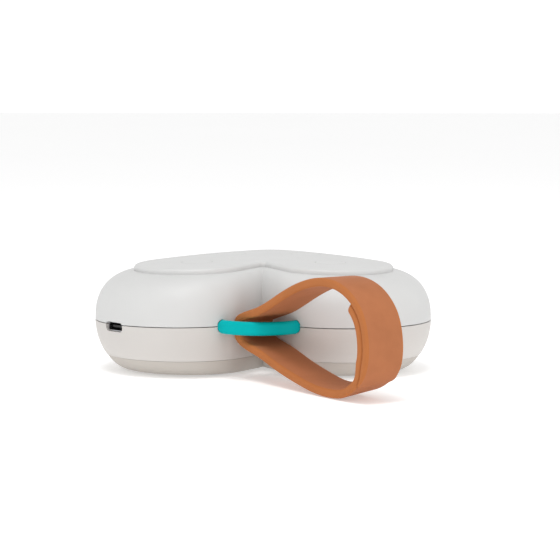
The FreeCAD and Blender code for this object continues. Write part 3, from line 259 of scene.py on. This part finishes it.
# ---------------------------------------------------------------- strap
def periodic_spline(points, per_span):
    """Smooth closed curve through the points, with continuous curvature: places and unit tangents."""
    p = np.array(points, float)
    n = len(p)
    step = np.hypot(*(np.roll(p, -1, 0) - p).T)
    before = np.roll(step, 1)
    system = np.zeros((n, n))
    right = np.zeros((n, 2))
    slope = (np.roll(p, -1, 0) - p) / step[:, None]
    for i in range(n):
        system[i, i - 1] = step[i]
        system[i, i] = 2 * (step[i] + before[i])
        system[i, (i + 1) % n] = before[i]
        right[i] = 3 * (before[i] * slope[i] + step[i] * slope[i - 1])
    speed = np.linalg.solve(system, right)
    places, tangents = [], []
    for i in range(n):
        j = (i + 1) % n
        for t in np.linspace(0, 1, per_span, endpoint=False):
            h = (2 * t**3 - 3 * t**2 + 1, t**3 - 2 * t**2 + t, -2 * t**3 + 3 * t**2, t**3 - t**2)
            d = (6 * t**2 - 6 * t, 3 * t**2 - 4 * t + 1, -6 * t**2 + 6 * t, 3 * t**2 - 2 * t)
            pair = (p[i], step[i] * speed[i], p[j], step[i] * speed[j])
            places.append(sum(a * b for a, b in zip(h, pair)))
            tangents.append(sum(a * b for a, b in zip(d, pair)))
    tangents = np.array(tangents)
    return np.array(places), tangents / np.hypot(*tangents.T)[:, None]


def smooth_step(t):
    t = min(1.0, max(0.0, t))
    return t * t * (3 - 2 * t)


def strap_centreline():
    """The strip from the outer layer's low end, over the top, round the bar, back and up inside it.

    Gives (place, inward normal, thickness) at each station, in the strap's plane."""
    places, tangents = periodic_spline(np.array(STRAP_OUTLINE) * MM, SPAN_SAMPLES)
    places, tangents = places[::-1], -tangents[::-1]
    inward = np.stack([-tangents[:, 1], tangents[:, 0]], 1)
    far = places[:, 0] > FAR_SIDE
    start = int(np.argmin(np.where(far, abs(places[:, 1] - OUTER_END_Z), 1)))
    places, inward = np.roll(places, -start, 0), np.roll(inward, -start, 0)
    count = len(places)
    walked = np.concatenate([[0], np.cumsum(np.hypot(*np.diff(places, axis=0).T))])
    stations = []
    for i in range(count):
        thick = SKIVE_T + (STRAP_T - SKIVE_T) * smooth_step(walked[i] / SKIVE)
        stations.append((places[i] + inward[i] * thick / 2, inward[i], thick))
    for i in range(count):
        rise = smooth_step(1 - (walked[-1] - walked[i]) / RUN_UNDER)
        stations[i] = (stations[i][0] + inward[i] * rise * (SKIVE_T + LAYER_GAP), *stations[i][1:])
    for place, into, (_, _, under) in zip(places, inward, list(stations)):
        inner = place + into * (under + LAYER_GAP + STRAP_T / 2)
        if inner[1] > INNER_END_Z:
            return stations
        stations.append((inner, into, STRAP_T))


def strap_section(half_width, half_thick, radius):
    """Rounded rectangle around a station: (across, through) pairs, anticlockwise."""
    r = min(radius, half_thick, half_width)
    corners = [(1, 1, 0), (-1, 1, 90), (-1, -1, 180), (1, -1, 270)]
    ring = []
    for sx, sz, first in corners:
        for k in range(CORNER_STEPS + 1):
            a = radians(first + 90 * k / CORNER_STEPS)
            ring.append((sx * (half_width - r) + r * cos(a), sz * (half_thick - r) + r * sin(a)))
    return ring


def end_narrowing(distance, radius):
    """How much a half width shrinks at this distance from an end with rounded corners."""
    if distance >= radius:
        return 0.0
    return radius - (radius**2 - (radius - distance) ** 2) ** 0.5


def far_edge_lift(reach, height):
    low, high = LIFT_REACH
    return FAR_EDGE_LIFT * smooth_step((reach - low) / (high - low)) * smooth_step(1 - height / LIFT_HEIGHT)


def strap_mesh():
    """One strip, swept along its centreline with rounded edges and rounded ends."""
    stations = strap_centreline()
    middles = np.array([s[0] for s in stations])
    walked = np.concatenate([[0], np.cumsum(np.hypot(*np.diff(middles, axis=0).T))])
    ahead = Vector((sin(STRAP_YAW), -cos(STRAP_YAW), 0))
    across = Vector((cos(STRAP_YAW), sin(STRAP_YAW), 0))
    up = Vector((0, 0, 1))
    mesh = bmesh.new()
    rings = []
    for (middle, inward, thick), s in zip(stations, walked):
        to_end = max(0.02 * MM, min(s, walked[-1] - s))
        half_width = STRAP_W / 2 - end_narrowing(to_end, STRAP_CORNER_R)
        half_thick = thick / 2 - end_narrowing(to_end, thick * END_ROUNDING)
        centre = STRAP_BACK + across * (STRAP_W / 2) + ahead * middle[0] + up * middle[1]
        out = -(ahead * inward[0] + up * inward[1])
        lift = far_edge_lift(middle[0], middle[1])
        section = strap_section(half_width, half_thick, STRAP_EDGE_R)
        rings.append([mesh.verts.new(centre + across * a + out * b + up * lift * (a / STRAP_W + 0.5))
                      for a, b in section])
    size = len(rings[0])
    for one, two in zip(rings, rings[1:]):
        for k in range(size):
            face = mesh.faces.new((one[k], one[(k + 1) % size], two[(k + 1) % size], two[k]))
            face.smooth = True
            face.material_index = int(k % FACE_PERIOD != CORNER_STEPS)
    for ring in (rings[0][::-1], rings[-1]):
        mesh.faces.new(ring).material_index = 1
    bmesh.ops.recalc_face_normals(mesh, faces=mesh.faces)
    return mesh


def make_strap(materials):
    mesh = bpy.data.meshes.new("wrist_strap")
    built = strap_mesh()
    built.to_mesh(mesh)
    built.free()
    mesh.materials.append(materials["strap_tan"])
    mesh.materials.append(leather("strap_edge", linear(176, 109, 64), rough=0.48, vary=0.03))
    strap = bpy.data.objects.new("wrist_strap", mesh)
    bpy.context.scene.collection.objects.link(strap)
    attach(strap, "strap_band")
    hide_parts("strap")
    return strap


# ---------------------------------------------------------------- studio
def make_floor():
    """A white table top that glows a little, so the shadows on it stay light."""
    bpy.ops.mesh.primitive_plane_add(size=8, location=(0, 0, -0.05 * MM))
    floor = bpy.context.object
    floor.name = "floor"
    material, shader, coords = new_material("floor_white")
    cloud = noise(material, coords, 0.4)
    tint = shade_between(material, cloud, (0.83, 0.83, 0.83), (0.84, 0.84, 0.84))
    link(material, tint, shader.inputs["Base Color"])
    shader.inputs["Emission Color"].default_value = (1, 1, 1, 1)
    shader.inputs["Emission Strength"].default_value = 0.34
    shader.inputs["Roughness"].default_value = 0.9
    shader.inputs["Specular IOR Level"].default_value = 0.1
    floor.data.materials.append(material)


def add_area(name, place, aim, size, power):
    light = bpy.data.lights.new(name, "AREA")
    light.shape = "RECTANGLE"
    light.size, light.size_y = size
    light.energy = power
    lamp = bpy.data.objects.new(name, light)
    lamp.location = place
    lamp.rotation_euler = (Vector(aim) - Vector(place)).to_track_quat("-Z", "Y").to_euler()
    bpy.context.scene.collection.objects.link(lamp)


def make_studio():
    """A sky that is brightest at the horizon, one soft lamp above and a weaker one from the right."""
    world = bpy.data.worlds.new("studio")
    world.use_nodes = True
    nodes, links = world.node_tree.nodes, world.node_tree.links
    split = nodes.new("ShaderNodeSeparateXYZ")
    links.new(nodes.new("ShaderNodeTexCoord").outputs["Generated"], split.inputs["Vector"])
    fade = nodes.new("ShaderNodeMapRange")
    links.new(split.outputs["Z"], fade.inputs["Value"])
    for name, value in (("From Min", 0.15), ("From Max", 0.6), ("To Min", 1.12), ("To Max", 0.65)):
        fade.inputs[name].default_value = value
    nodes["Background"].inputs["Color"].default_value = (1, 1, 1, 1)
    links.new(fade.outputs["Result"], nodes["Background"].inputs["Strength"])
    bpy.context.scene.world = world
    bpy.context.scene.view_settings.view_transform = "Standard"
    add_area("overhead", (-0.04, -0.36, 0.9), (0, -0.02, 0.02), (0.4, 0.4), 4.0)
    add_area("fill", (0.6, -0.6, 0.35), (0, -0.02, 0.02), (0.5, 0.4), 0.5)


def make_camera():
    lens = bpy.data.cameras.new("camera")
    lens.lens = CAMERA_LENS
    lens.sensor_width = 36
    lens.clip_start = 0.01
    camera = bpy.data.objects.new("camera", lens)
    camera.location = CAMERA_AT
    camera.rotation_euler = Euler((pi / 2 - CAMERA_PITCH, 0, CAMERA_YAW), "XYZ")
    bpy.context.scene.collection.objects.link(camera)
    bpy.context.scene.camera = camera


make_camera()
make_studio()
make_floor()
materials = make_materials()
dress_nodes(materials)
make_strap(materials)
